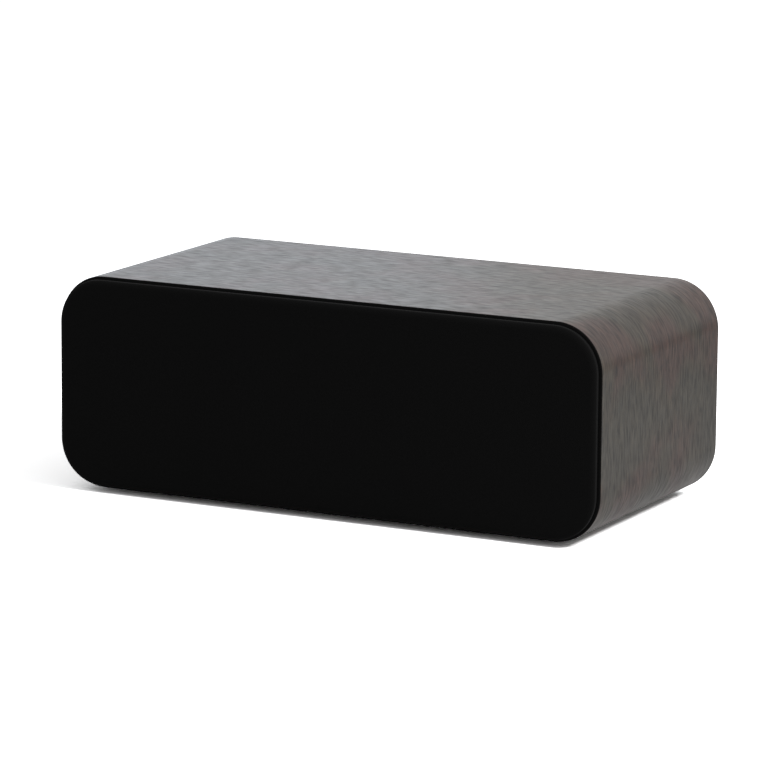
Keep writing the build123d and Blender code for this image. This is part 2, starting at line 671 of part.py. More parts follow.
def tweeter_pieces():
    """Every piece of the tweeter, its faceplate's front at depth nought on the depth axis."""
    bore = TWEETER_COIL_RADIUS + FORMER_THICKNESS + WINDING_THICKNESS + TWEETER_COIL_GAP
    return {
        "faceplate": tweeter_faceplate(),
        "diaphragm": tweeter_diaphragm(),
        "voice_coil": tweeter_voice_coil(),
        "front_plate": ring_plate(bore, TWEETER_PLATE_RADIUS, TWEETER_BODY_DEPTH, TWEETER_PLATE_BACK),
        "magnet": ring_plate(
            TWEETER_MAGNET_BORE, TWEETER_MAGNET_RADIUS, TWEETER_PLATE_BACK, TWEETER_MAGNET_BACK),
        "yoke": tweeter_yoke(),
    }


def driver_screws():
    """The countersunk screws that hold the drive units in the baffle."""
    return Part() + [Pos(x, 0, z) * screw(y, SCREW_LENGTH) for x, y, z in driver_screw_places()]


def cup_screw_places():
    """The four corners of the terminal cup's flange."""
    x = (CUP_WIDTH + CUP_FLANGE) / 2
    z = (CUP_HEIGHT + CUP_FLANGE) / 2
    return [(sx * x, MIDDLE + sz * z) for sx in (-1, 1) for sz in (-1, 1)]


def facing_back(piece):
    """Turns a piece made for the front so that it faces the back."""
    return Rot(0, 0, 180) * piece


def terminal_cup():
    """The moulded cup in the back, with drafted walls and a floor for the two posts."""
    rim = RectangleRounded(CUP_WIDTH + 2 * CUP_FLANGE, CUP_HEIGHT + 2 * CUP_FLANGE, CUP_CORNER)
    flange = slab(Pos(0, MIDDLE) * rim, REAR_OUTSIDE, CUP_RIM)
    shell = RectangleRounded(CUP_WIDTH, CUP_HEIGHT, CUP_CORNER)
    shell = Pos(0, CUP_RIM, MIDDLE) * extrude(Plane.XZ * shell, CUP_DEPTH + CUP_FLOOR, taper=CUP_DRAFT)
    space = RectangleRounded(CUP_WIDTH - 2 * CUP_WALL, CUP_HEIGHT - 2 * CUP_WALL, CUP_CORNER - CUP_WALL)
    space = Pos(0, CUP_RIM, MIDDLE) * extrude(Plane.XZ * space, CUP_DEPTH, taper=CUP_DRAFT)
    cup = flange + shell - space
    for x in POSTS.values():
        cup -= disc(STUD_RADIUS + STUD_FIT, CUP_BACK, CUP_FLOOR_OUTSIDE, x, MIDDLE)
    for x, z in cup_screw_places():
        cup -= Pos(x, CUP_RIM, z) * facing_back(screw_hole(0, CUP_FLANGE_THICKNESS))
    return cup


def terminal_screws():
    """The four screws that hold the terminal cup to the back."""
    one = facing_back(screw(0, SCREW_LENGTH))
    return Part() + [Pos(x, CUP_RIM, z) * one for x, z in cup_screw_places()]


def binding_post(x):
    """A gilt stud with a socket for a 4 mm plug in its end and a cross hole for bare wire."""
    end = CUP_FLOOR_OUTSIDE + STUD_LENGTH
    stud = disc(STUD_RADIUS, STUD_BACK, end, x, MIDDLE)
    stud -= disc(BANANA_RADIUS, end - BANANA_DEPTH, end, x, MIDDLE)
    hole = CUP_FLOOR_OUTSIDE + COLLAR_HEIGHT + WIRE_HOLE_RADIUS + CLAMP_THICKNESS / 2
    return stud - Pos(x, hole, MIDDLE) * Cylinder(WIRE_HOLE_RADIUS, 4 * STUD_RADIUS)


def post_collars():
    """The two insulating collars that the posts clamp to the cup's floor."""
    front = CUP_FLOOR_OUTSIDE
    ring = Circle(COLLAR_RADIUS) - Circle(STUD_RADIUS + STUD_FIT)
    return Part() + [slab(Pos(x, MIDDLE) * ring, front, front + COLLAR_HEIGHT) for x in POSTS.values()]


def clamp_washer(x):
    """The loose washer that presses a bare wire against the collar."""
    ring = Circle(CLAMP_RADIUS) - Circle(STUD_RADIUS + STUD_FIT)
    front = CUP_FLOOR_OUTSIDE + COLLAR_HEIGHT
    return slab(Pos(x, MIDDLE) * ring, front, front + CLAMP_THICKNESS)


def binding_knob(x):
    """The fluted knob that screws along the stud, open at its end for a plug."""
    front = CUP_FLOOR_OUTSIDE + CLAMP_TOP
    top = CUP_FLOOR_OUTSIDE + KNOB_TOP
    inside = top - KNOB_END_WALL
    knob = disc(KNOB_RADIUS, front, top)
    knob = chamfer(knob.edges().filter_by(GeomType.CIRCLE), KNOB_EDGE)
    for i in range(KNOB_FLUTES):
        groove = disc(KNOB_FLUTE_RADIUS, front, inside - KNOB_FLUTE_RADIUS, KNOB_RADIUS, 0)
        knob -= Rot(0, i * 360 / KNOB_FLUTES, 0) * groove
    knob -= disc(STUD_RADIUS + STUD_FIT, front, inside)
    knob -= disc(KNOB_MOUTH_RADIUS, inside, top)
    return Pos(x, 0, MIDDLE) * knob


def terminal_nuts():
    """The two nuts that fasten the posts behind the cup."""
    nut = RegularPolygon(NUT_ACROSS_FLATS / 2, 6, major_radius=False) - Circle(STUD_RADIUS + STUD_FIT)
    return Part() + [slab(Pos(x, MIDDLE) * nut, CUP_BACK - NUT_THICKNESS, CUP_BACK) for x in POSTS.values()]


def board_corners():
    """The four corners where the crossover board stands on its spacers."""
    x = BOARD_WIDTH / 2 - SPACER_INSET
    y = BOARD_LENGTH / 2 - SPACER_INSET
    return [(sx * x, BOARD_Y + sy * y) for sx in (-1, 1) for sy in (-1, 1)]


def crossover_board():
    """The circuit board of the crossover, flat above the cabinet's floor."""
    sheet = Pos(0, BOARD_Y) * Rectangle(BOARD_WIDTH, BOARD_LENGTH)
    for x, y in board_corners():
        sheet -= Pos(x, y) * Circle(BOARD_SCREW_RADIUS + SCREW_FIT)
    return Pos(0, 0, BOARD_TOP - BOARD_THICKNESS) * extrude(sheet, BOARD_THICKNESS)


def crossover_spacers():
    """The four sleeves under the board."""
    ring = Circle(SPACER_RADIUS) - Circle(BOARD_SCREW_RADIUS + SCREW_FIT)
    return Part() + [Pos(x, y, FLOOR_INSIDE) * extrude(ring, SPACER_HEIGHT) for x, y in board_corners()]


def crossover_screws():
    """The four screws down through the board and its spacers, which end at the cabinet's floor."""
    shaft = extrude(Circle(BOARD_SCREW_RADIUS), SPACER_HEIGHT + BOARD_THICKNESS)
    head = extrude(Circle(SCREW_HEAD_RADIUS), SCREW_HEAD_HEIGHT)
    head = Pos(0, 0, SPACER_HEIGHT + BOARD_THICKNESS) * head
    return Part() + [Pos(x, y, FLOOR_INSIDE) * (shaft + head) for x, y in board_corners()]


def inductor_places():
    """The two inductors on the board: place along X, radius and height."""
    large, small = LARGE_COIL, SMALL_COIL
    half = BOARD_WIDTH / 2
    back = BOARD_Y + BOARD_LENGTH / 2
    return [(-half + large[0] + SPACER_INSET, back - 2 * SPACER_INSET - large[0], *large),
            (half - small[0] - COMPONENT_GAP, back - 2 * SPACER_INSET - small[0], *small)]


def inductor_bobbins():
    """The plastic spools of the inductors."""
    spools = []
    for x, y, radius, height in inductor_places():
        hub = BOBBIN_BORE + BOBBIN_WALL
        section = [
            (BOBBIN_BORE, 0),
            (radius, 0),
            (radius, BOBBIN_FLANGE),
            (hub, BOBBIN_FLANGE),
            (hub, height - BOBBIN_FLANGE),
            (radius, height - BOBBIN_FLANGE),
            (radius, height),
            (BOBBIN_BORE, height),
        ]
        spool = turned(Polyline(*section, close=True))
        spools.append(Pos(x, y, BOARD_TOP) * Rot(90, 0, 0) * spool)
    return Part() + spools


def inductor_windings():
    """The copper windings of the inductors."""
    windings = []
    for x, y, radius, height in inductor_places():
        ring = Circle(radius - WINDING_INSET) - Circle(BOBBIN_BORE + BOBBIN_WALL + GLUE_LINE)
        coil = extrude(ring, height - 2 * BOBBIN_FLANGE)
        windings.append(Pos(x, y, BOARD_TOP + BOBBIN_FLANGE) * coil)
    return Part() + windings


def capacitors():
    """Two film capacitors lying on the board."""
    front = BOARD_Y - BOARD_LENGTH / 2 + 2 * SPACER_INSET
    x = CAPACITOR_LENGTH / 2 + COMPONENT_GAP
    can = Rot(0, 90, 0) * Cylinder(CAPACITOR_RADIUS, CAPACITOR_LENGTH)
    y = front + CAPACITOR_RADIUS
    return Part() + [Pos(side * x, y, BOARD_TOP + CAPACITOR_RADIUS) * can for side in SIDES.values()]


def resistors():
    """Two cement resistors at the front of the board."""
    long, deep, tall = RESISTOR
    x = long / 2 + COMPONENT_GAP
    y = BOARD_Y - BOARD_LENGTH / 2 + SPACER_INSET + RESISTOR_SETBACK
    block = Box(long, deep, tall)
    return Part() + [Pos(side * x, y, BOARD_TOP + tall / 2) * block for side in SIDES.values()]


def driver_terminals():
    """The tag strips of the drive units: one on each basket's pot, one behind the tweeter."""
    deep, thick, long = STRIP
    pot = Rot(90, 0, 0) * Cylinder(POT_RADIUS + BASKET_WALL + GLUE_LINE, 2 * thick)
    strip = Box(deep, thick, long) - Pos(WOOFER_X - STRIP_X, 0, 0) * pot
    strips = []
    for side in SIDES.values():
        strips.append(Pos(side * STRIP_X, STRIP_Y, MIDDLE) * Rot(0, 0, 0 if side > 0 else 180) * strip)
    strips.append(Pos(0, BAFFLE_FRONT + TWEETER_BACK + deep / 2, MIDDLE) * Box(long, deep, thick))
    return Part() + strips


def lead(points):
    """One insulated wire: straight runs joined by arcs as large as the runs allow."""
    corners = [Vector(*p) for p in points]
    runs = [b - a for a, b in zip(corners, corners[1:])]
    radii = []
    for before, after in zip(runs, runs[1:]):
        turn = math.radians(before.get_angle(after))
        radii.append(0.45 * min(before.length, after.length) / math.tan(turn / 2))
    path = FilletPolyline(*corners, radius=radii)
    print("lead of", round(path.length, 1), "mm, radii", [round(r, 1) for r in radii])
    start = Plane(origin=path @ 0, z_dir=path % 0)
    return sweep(start * Circle(LEAD_RADIUS), path=path)


def input_leads():
    """The pair of wires from the binding posts down to the crossover."""
    low = BOARD_Y + BOARD_LENGTH / 2 - SPACER_INSET
    wires = []
    for x in POSTS.values():
        end = math.copysign(LEAD_SPACING / 2, x)
        wires.append(lead([
            (x, STUD_BACK, MIDDLE), (x, STUD_BACK - 11, MIDDLE), (x * 0.9, low + 4, MIDDLE - 18),
            (end, low, BOARD_TOP + 20), (end, low, BOARD_TOP)]))
    return Part() + wires


def woofer_leads():
    """The pair of wires from the crossover to each woofer, through the braces' windows."""
    end = STRIP_X - STRIP[0] / 2
    back = BOARD_Y - LEAD_SETBACK
    window = BAFFLE_BACK + BRACE_RAIL + LEAD_WINDOW_GAP
    wires = []
    for side in SIDES.values():
        for step in (0, 1):
            x = side * (BOARD_WIDTH / 2 - LEAD_EDGE_GAP - step * LEAD_PITCH_AT_BOARD)
            z = MIDDLE + (step - 0.5) * LEAD_SPACING
            wires.append(lead([
                (x, back, BOARD_TOP),
                (x, back, BOARD_TOP + LEAD_RISE),
                (x, (back + window) / 2, z),
                (side * (BRACE_X - 2), window, z),
                (side * (end - 18), STRIP_Y, z),
                (side * end, STRIP_Y, z)]))
    return Part() + wires


def tweeter_leads():
    """The pair of wires from the crossover to the tweeter."""
    deep, _, _ = STRIP
    back = BAFFLE_FRONT + TWEETER_BACK + deep
    front = BOARD_Y - BOARD_LENGTH / 2 + 2 * SPACER_INSET + 2 * CAPACITOR_RADIUS + LEAD_SPACING
    wires = []
    for side in SIDES.values():
        x = side * LEAD_SPACING / 2
        wires.append(lead([
            (x, front, BOARD_TOP), (x, front, BOARD_TOP + 26), (x, front - 16, MIDDLE - 6),
            (x, back + 14, MIDDLE), (x, back, MIDDLE)]))
    return Part() + wires


pieces = {
    "cabinet_wrap": cabinet_wrap(),
    "front_baffle": front_baffle(),
    "rear_panel": rear_panel(),
    "port_tube": port_tube(),
    "feet": feet(),
    "grille_frame": grille_frame(),
    "grille_cloth": grille_cloth(),
    "grille_sockets": grille_sockets(),
    "driver_screws": driver_screws(),
    "driver_terminals": driver_terminals(),
    "terminal_cup": terminal_cup(),
    "terminal_screws": terminal_screws(),
    "terminal_nuts": terminal_nuts(),
    "post_collars": post_collars(),
    "crossover_board": crossover_board(),
    "crossover_spacers": crossover_spacers(),
    "crossover_screws": crossover_screws(),
    "inductor_bobbins": inductor_bobbins(),
    "inductor_windings": inductor_windings(),
    "capacitors": capacitors(),
    "resistors": resistors(),
    "input_leads": input_leads(),
    "woofer_leads": woofer_leads(),
    "tweeter_leads": tweeter_leads(),
}
for name, side in SIDES.items():
    pieces[f"brace_{name}"] = brace(side)
    pieces[f"damping_pad_{name}"] = damping_pad(side)
woofer = woofer_pieces()
for name, side in SIDES.items():
    for piece, shape in woofer.items():
        pieces[f"woofer_{name}_{piece}"] = Pos(side * WOOFER_X, WOOFER_FRONT, MIDDLE) * shape
for piece, shape in tweeter_pieces().items():
    pieces[f"tweeter_{piece}"] = Pos(0, BAFFLE_FRONT, MIDDLE) * shape
for name, x in POSTS.items():
    pieces[f"post_{name}"] = binding_post(x)
    pieces[f"clamp_washer_{name}"] = clamp_washer(x)
    pieces[f"knob_{name}"] = binding_knob(x)

os.makedirs("parts", exist_ok=True)
for name, shape in pieces.items():
    export_step(shape, f"parts/{name}.step")
print(len(pieces), "nodes")
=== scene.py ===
import bmesh
import bpy
import math
from mathutils import Matrix, Vector, noise


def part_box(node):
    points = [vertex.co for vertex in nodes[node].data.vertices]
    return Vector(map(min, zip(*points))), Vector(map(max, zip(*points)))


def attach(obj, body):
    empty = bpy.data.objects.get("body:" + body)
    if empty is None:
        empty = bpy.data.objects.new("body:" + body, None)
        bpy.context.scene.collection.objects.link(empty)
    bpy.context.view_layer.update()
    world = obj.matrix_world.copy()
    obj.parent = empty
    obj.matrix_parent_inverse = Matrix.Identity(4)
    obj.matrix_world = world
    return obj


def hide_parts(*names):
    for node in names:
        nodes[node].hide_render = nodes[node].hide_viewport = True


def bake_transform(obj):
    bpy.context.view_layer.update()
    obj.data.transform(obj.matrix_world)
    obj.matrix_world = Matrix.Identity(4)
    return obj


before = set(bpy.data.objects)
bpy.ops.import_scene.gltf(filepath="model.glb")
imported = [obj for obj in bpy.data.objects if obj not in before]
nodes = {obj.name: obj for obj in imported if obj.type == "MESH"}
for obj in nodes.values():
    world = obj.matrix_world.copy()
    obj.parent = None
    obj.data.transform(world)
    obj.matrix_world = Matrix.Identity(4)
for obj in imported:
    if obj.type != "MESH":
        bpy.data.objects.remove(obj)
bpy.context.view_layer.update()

# The cabinet's top, sides and bottom: one band of 12 mm fibreboard bent round 35 mm corners and wrapped
# in dark wenge veneer, its grain running round the band and its joint under the cabinet. The cut edges at
# front and back are painted black, and the inside is bare board. At the front the black is painted shade as
# well as paint: it is darker than any paint and covers the forward-facing facets of the rounding, so that
# the gap behind the grille shows as deep shadow.
MM = 0.001
BAND_CORNER = 35 * MM
BAND_WALL = 12 * MM
BAND_ROUNDING = 0.8 * MM
BAND_ROUNDING_STEPS = 4
CORNER_STEPS = 24
SHARP_ANGLE = math.radians(40)
VENEER, EDGE_PAINT_AND_GAP_SHADE, BARE_BOARD = range(3)


def paint(code):
    """A colour written as six hex digits of sRGB, made linear for the shader."""
    parts = [int(code[i:i + 2], 16) / 255 for i in (1, 3, 5)]
    return (*[c / 12.92 if c <= 0.04045 else ((c + 0.055) / 1.055) ** 2.4 for c in parts], 1)


def add(tree, kind, inputs=None, stops=(), **settings):
    """Adds a shader node, with its settings, its colour stops, and its inputs linked or set."""
    node = tree.nodes.new(kind)
    for name, value in settings.items():
        setattr(node, name, value)
    for name, value in (inputs or {}).items():
        if isinstance(value, bpy.types.NodeSocket):
            tree.links.new(value, node.inputs[name])
        else:
            node.inputs[name].default_value = value
    for i, (position, colour) in enumerate(stops):
        elements = node.color_ramp.elements
        stop = elements[i] if i < 2 else elements.new(position)
        stop.position = position
        stop.color = paint(colour)
    return node


def start_finish(name, surface):
    """A new material, with the plain settings of its shader given by their names."""
    material = bpy.data.materials.new(name)
    material.use_nodes = True
    shader = material.node_tree.nodes["Principled BSDF"]
    for socket, value in surface.items():
        shader.inputs[socket].default_value = value
    return material, material.node_tree, shader


def grained(name, dark, light, grain, height, surface):
    """A finish with a fine even grain: two shades, the size of the grain, and how high it stands."""
    material, tree, shader = start_finish(name, surface)
    place = add(tree, "ShaderNodeTexCoord").outputs["Object"]
    grit = add(tree, "ShaderNodeTexNoise", {"Vector": place, "Scale": 1 / grain, "Detail": 3.0})
    shade = add(tree, "ShaderNodeValToRGB", {"Fac": grit.outputs["Fac"]}, stops=[(0.35, dark), (0.65, light)])
    bump = add(tree, "ShaderNodeBump", {"Height": grit.outputs["Fac"], "Distance": height})
    tree.links.new(shade.outputs["Color"], shader.inputs["Base Color"])
    tree.links.new(bump.outputs["Normal"], shader.inputs["Normal"])
    return material


def wenge_veneer():
    """Wenge veneer under satin lacquer: short dark dashes along the grain between paler ones, open pores, and
    broad patches that turn reddish or grey-green. The lacquer lies thinner over the dark dashes, so they are
    duller."""
    material, tree, shader = start_finish("wenge veneer, satin lacquer", {"IOR": 1.42})
    place = add(tree, "ShaderNodeUVMap", uv_map="grain").outputs["UV"]
    layers = {}
    for layer, along, across, detail in (
        ("tint", 60 * MM, 60 * MM, 1.0),
        ("figure", 26 * MM, 6 * MM, 2.0),
        ("dashes", 15 * MM, 2.2 * MM, 2.0),
        ("pores", 9 * MM, 0.9 * MM, 1.0),
    ):
        stretch = add(tree, "ShaderNodeMapping", {"Vector": place, "Scale": (1 / along, 1 / across, 1)})
        layers[layer] = add(tree, "ShaderNodeTexNoise", {
            "Vector": stretch.outputs["Vector"], "Scale": 1.0, "Detail": detail, "Roughness": 0.6,
            "Distortion": 0.3}).outputs["Fac"]
    shade = add(tree, "ShaderNodeValToRGB", {"Fac": layers["tint"]}, stops=[
        (0.38, "#363127"), (0.50, "#393024"), (0.62, "#402b23")]).outputs["Color"]
    for layer, stops in (
        ("figure", [(0.34, "#c8c5c2"), (0.66, "#ffffff")]),
        ("dashes", [(0.32, "#74706c"), (0.46, "#dcd9d6"), (0.66, "#ffffff")]),
        ("pores", [(0.32, "#7a7572"), (0.46, "#ffffff")]),
    ):
        over = add(tree, "ShaderNodeValToRGB", {"Fac": layers[layer]}, stops=stops)
        shade = add(tree, "ShaderNodeMix", {0: 1.0, 6: shade, 7: over.outputs["Color"]},
                    data_type="RGBA", blend_type="MULTIPLY").outputs[2]
    gloss = add(tree, "ShaderNodeMapRange", {
        "Value": layers["dashes"], "From Min": 0.34, "From Max": 0.60, "To Min": 0.46, "To Max": 0.32})
    bump = None
    for layer, height in (("figure", 0.02 * MM), ("dashes", 0.02 * MM), ("pores", 0.02 * MM)):
        under = {"Normal": bump.outputs["Normal"]} if bump else {}
        bump = add(tree, "ShaderNodeBump", {"Height": layers[layer], "Distance": height, **under})
    tree.links.new(shade, shader.inputs["Base Color"])
    tree.links.new(gloss.outputs["Result"], shader.inputs["Roughness"])
    tree.links.new(bump.outputs["Normal"], shader.inputs["Normal"])
    return material


def outline_face(low, high, corner, depth):
    """A flat face across the front: a rounded rectangle between two corners, at the depth given."""
    bm = bmesh.new()
    bmesh.ops.create_grid(bm, x_segments=1, y_segments=1, size=0.5)
    bmesh.ops.scale(bm, vec=(high.x - low.x, high.z - low.z, 1), verts=bm.verts)
    bmesh.ops.rotate(bm, matrix=Matrix.Rotation(math.pi / 2, 3, "X"), verts=bm.verts)
    bmesh.ops.translate(bm, vec=((low.x + high.x) / 2, depth, (low.z + high.z) / 2), verts=bm.verts)
    bmesh.ops.bevel(bm, geom=bm.verts[:], affect="VERTICES", offset=corner, segments=CORNER_STEPS,
                    profile=0.5, material=-1)
    return bm


def make_piece(name, bm, materials, body=None, stands_for=()):
    """Turns a bmesh into a piece: smooth but for its sharp edges, with its finish and body."""
    for face in bm.faces:
        face.smooth = True
    for edge in bm.edges:
        edge.smooth = edge.calc_face_angle(0) < SHARP_ANGLE
    mesh = bpy.data.meshes.new(name)
    bm.to_mesh(mesh)
    bm.free()
    for material in materials:
        mesh.materials.append(material)
    piece = bpy.data.objects.new(name, mesh)
    bpy.context.scene.collection.objects.link(piece)
    piece.modifiers.new("even shading", "WEIGHTED_NORMAL").keep_sharp = True
    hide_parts(*stands_for)
    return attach(piece, body) if body else piece


low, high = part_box("cabinet_wrap")
middle = (low + high) / 2
flat_x = (high.x - low.x) / 2 - BAND_CORNER
flat_z = (high.z - low.z) / 2 - BAND_CORNER
girth = 4 * (flat_x + flat_z) + 2 * math.pi * BAND_CORNER


def reach(point):
    """How far out a point lies from the flat stretches' middle lines: the corner's radius on the veneer."""
    return math.hypot(max(0, abs(point.x - middle.x) - flat_x), max(0, abs(point.z - middle.z) - flat_z))


def way_round(point):
    """How far round the band a point lies, from the left end of the flat underside."""
    x, z = point.x - middle.x, point.z - middle.z
    along = max(-flat_x, min(flat_x, x))
    up = max(-flat_z, min(flat_z, z))
    turn = math.atan2(x - along, up - z) % (2 * math.pi)
    passed = flat_x + along + flat_z + up
    if turn > math.pi - 0.01:
        passed = 4 * (flat_x + flat_z) - passed
    return passed + BAND_CORNER * turn


band = outline_face(low, high, BAND_CORNER, low.y)
bmesh.ops.inset_region(band, faces=band.faces[:], thickness=BAND_WALL, use_even_offset=True,
                       use_boundary=True)
bmesh.ops.delete(band, geom=[face for face in band.faces if len(face.verts) > 4], context="FACES_ONLY")
grown = bmesh.ops.extrude_face_region(band, geom=band.faces[:])
bmesh.ops.translate(band, vec=(0, high.y - low.y, 0),
                    verts=[v for v in grown["geom"] if isinstance(v, bmesh.types.BMVert)])
bmesh.ops.recalc_face_normals(band, faces=band.faces)
rims = [edge for edge in band.edges if abs(edge.verts[0].co.y - edge.verts[1].co.y) < BAND_ROUNDING
        and min(reach(v.co) for v in edge.verts) > BAND_CORNER - BAND_WALL / 2]
bmesh.ops.bevel(band, geom=rims, affect="EDGES", offset=BAND_ROUNDING,
                segments=BAND_ROUNDING_STEPS, profile=0.5, material=-1)
inside_front, inside_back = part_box("front_baffle")[1].y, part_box("rear_panel")[0].y
for depth in (inside_front, inside_back):
    bmesh.ops.bisect_plane(band, geom=band.verts[:] + band.edges[:] + band.faces[:], plane_co=(0, depth, 0),
                           plane_no=(0, 1, 0))
grain = band.loops.layers.uv.new("grain")
# The black also goes on the rounding's forward-facing facets, as painted shade that widens the dark gap at
# the front.
for face in band.faces:
    centre = face.calc_center_median()
    if reach(centre) > BAND_CORNER - BAND_WALL / 4 and abs(face.normal.y) < 0.5:
        face.material_index = VENEER
    else:
        face.material_index = BARE_BOARD if inside_front < centre.y < inside_back else EDGE_PAINT_AND_GAP_SHADE
    here = way_round(centre)
    for loop in face.loops:
        step = (way_round(loop.vert.co) - here + girth / 2) % girth - girth / 2
        loop[grain].uv = (here + step, loop.vert.co.y)

# Painted shade: the edge paint is near-black, darker than real paint, so the gap between grille and wood
# reads as deep shadow.
edge_paint_and_gap_shade = grained("black edge paint with painted gap shade, matt", "#030303", "#060606", 0.8 * MM, 0.02 * MM,
                     {"Roughness": 0.9, "Specular IOR Level": 0.15})
bare_board = grained("bare fibreboard", "#7d6347", "#8f7455", 0.5 * MM, 0.03 * MM, {"Roughness": 0.85})
make_piece("cabinet_band", band, [wenge_veneer(), edge_paint_and_gap_shade, bare_board], "cabinet",
           ["cabinet_wrap"])


# The front board is fibreboard, machined for the drive units and sprayed matt black. It shows as a dark
# step between the cloth and the wood.
def coat(material, *names):
    """Gives CAD nodes their finish."""
    for name in names:
        for place in nodes[name].material_slots:
            place.material = material


sprayed_board = grained("sprayed fibreboard, matt black", "#040404", "#080808", 0.6 * MM, 0.02 * MM,
                        {"Roughness": 0.85, "Specular IOR Level": 0.2})
coat(sprayed_board, "front_baffle")
coat(grained("vinyl-wrapped board, black", "#131313", "#1c1c1c", 0.9 * MM, 0.06 * MM, {"Roughness": 0.55}),
     "rear_panel")

# The grille: a moulded frame on four pins, with black polyester cloth pulled over it and glued down behind
# its border. Pulled tight over the frame's rounded edge, the cloth turns the corner in a soft curve.
CLOTH_THICKNESS = 0.5 * MM
CLOTH_RETURN = 9 * MM
CLOTH_CORNER = 33 * MM
CURVE_ACROSS = 5 * MM
CURVE_DEEP = 2.4 * MM
CURVE_STEPS = 8
GRILLE_THREAD = 0.9 * MM

moulded_abs = grained("moulded black ABS", "#151515", "#1c1c1c", 0.3 * MM, 0.03 * MM, {"Roughness": 0.45})
coat(moulded_abs, "grille_frame")
soft_rubber = grained("soft black rubber", "#151515", "#1e1e1e", 0.4 * MM, 0.01 * MM, {"Roughness": 0.7})
coat(soft_rubber, "grille_sockets")


def woven(name, gap, thread, pitch, surface, uv_map=None):
    """Woven cloth: threads of one pitch cross over darker gaps, along its own map or across the front."""
    material, tree, shader = start_finish(name, surface)
    if uv_map:
        place = add(tree, "ShaderNodeUVMap", uv_map=uv_map).outputs["UV"]
    else:
        place = add(tree, "ShaderNodeTexCoord").outputs["Object"]
    turns = add(tree, "ShaderNodeMapping", {"Vector": place, "Scale": (math.pi / pitch,) * 3})
    ways = add(tree, "ShaderNodeSeparateXYZ", {"Vector": turns.outputs["Vector"]})
    waves = [add(tree, "ShaderNodeMath", {0: ways.outputs[way]}, operation="SINE").outputs[0]
             for way in ("XY" if uv_map else "XZ")]
    weave = add(tree, "ShaderNodeMath", {0: waves[0], 1: waves[1]}, operation="MULTIPLY").outputs[0]
    threads = add(tree, "ShaderNodeMath", {0: weave}, operation="ABSOLUTE").outputs[0]
    shade = add(tree, "ShaderNodeValToRGB", {"Fac": threads}, stops=[(0.0, gap), (0.5, thread)])
    bump = add(tree, "ShaderNodeBump", {"Height": weave, "Distance": pitch / 10, "Strength": 0.6})
    tree.links.new(shade.outputs["Color"], shader.inputs["Base Color"])
    tree.links.new(bump.outputs["Normal"], shader.inputs["Normal"])
    return material


# Knitted polyester is matt, and loose fibres catch the light where it turns away. Its real threads are half
# as wide, too fine to show.
grille_polyester = woven("black grille polyester", "#060606", "#0c0c0c", GRILLE_THREAD, {
    "Roughness": 0.9, "Specular IOR Level": 0.06, "Sheen Weight": 0.03, "Sheen Roughness": 0.5}, "threads")

low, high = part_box("grille_cloth")
cloth = outline_face(low, high, CLOTH_CORNER, high.y)
back = next(iter(cloth.faces))
grown = bmesh.ops.extrude_face_region(cloth, geom=[back])
bmesh.ops.translate(cloth, vec=(0, low.y + CURVE_DEEP - high.y, 0),
                    verts=[v for v in grown["geom"] if isinstance(v, bmesh.types.BMVert)])
bmesh.ops.recalc_face_normals(cloth, faces=cloth.faces)
front = min(cloth.faces, key=lambda face: face.calc_center_median().y)
for i in range(CURVE_STEPS):
    before, after = (math.pi / 2 * step / CURVE_STEPS for step in (i, i + 1))
    bmesh.ops.inset_region(cloth, faces=[front], use_even_offset=True,
                           thickness=CURVE_ACROSS * (math.cos(before) - math.cos(after)),
                           depth=CURVE_DEEP * (math.sin(after) - math.sin(before)))
behind = max(cloth.faces, key=lambda face: face.calc_center_median().y)
bmesh.ops.inset_region(cloth, faces=[behind], thickness=CLOTH_RETURN, use_even_offset=True)
bmesh.ops.delete(cloth, geom=[behind], context="FACES_ONLY")
threads = cloth.loops.layers.uv.new("threads")
for face in cloth.faces:
    for loop in face.loops:
        at = loop.vert.co
        core = Vector((max(low.x + CLOTH_CORNER, min(high.x - CLOTH_CORNER, at.x)), 0,
                       max(low.z + CLOTH_CORNER, min(high.z - CLOTH_CORNER, at.z))))
        outward = (Vector((at.x, 0, at.z)) - core).normalized() * (at.y - low.y)
        loop[threads].uv = (at.x + outward.x, at.z + outward.z)
bmesh.ops.solidify(cloth, geom=cloth.faces[:], thickness=CLOTH_THICKNESS)
grille_cover = make_piece("grille_cover", cloth, [grille_polyester], "grille",
                          ["grille_cloth"])

# Two 100 mm woofers, one each side of the tweeter. The chassis is moulded in glass-filled ABS, and a die-cut
# foam ring presses the outer lip of the half-roll rubber surround onto its shelf. The cone is coated paper
# pulp with a doped cloth cap, and its copper coil sits in the gap of a ferrite magnet between steel plates.
# Surround and spider flex with the cone; each is built in rings.
SURROUND_WALL = 0.6 * MM
INNER_LIP = 2.2 * MM
ROLL_STEPS = 12
TURN_STEPS = 96
SPIDER_WALL = 0.5 * MM
SPIDER_WAVES = 3
SPIDER_WAVE_HEIGHT = 1.6 * MM
SPIDER_BORE = 12.8 * MM
SPIDER_NECK = 1.2 * MM
SPIDER_LEDGE = 3.15 * MM
STIFF_SPAN = 1.0


def spun(section, centre, along=Vector((0, 1, 0)), steps=TURN_STEPS):
    """A turned ring: pairs of radius and depth, counted from a centre, go full circle round an axis."""
    bm = bmesh.new()
    out = along.orthogonal().normalized()
    corners = [bm.verts.new(centre + out * radius + along * depth) for radius, depth in section]
    edges = [bm.edges.new((corners[i - 1], corners[i])) for i in range(len(section))
             if section[i - 1][0] or section[i][0]]
    bmesh.ops.spin(bm, geom=corners + edges, cent=centre, axis=along, angle=2 * math.pi, steps=steps,
                   use_merge=True)
    bmesh.ops.remove_doubles(bm, verts=bm.verts, dist=0.001 * MM)
    bmesh.ops.recalc_face_normals(bm, faces=bm.faces)
    return bm


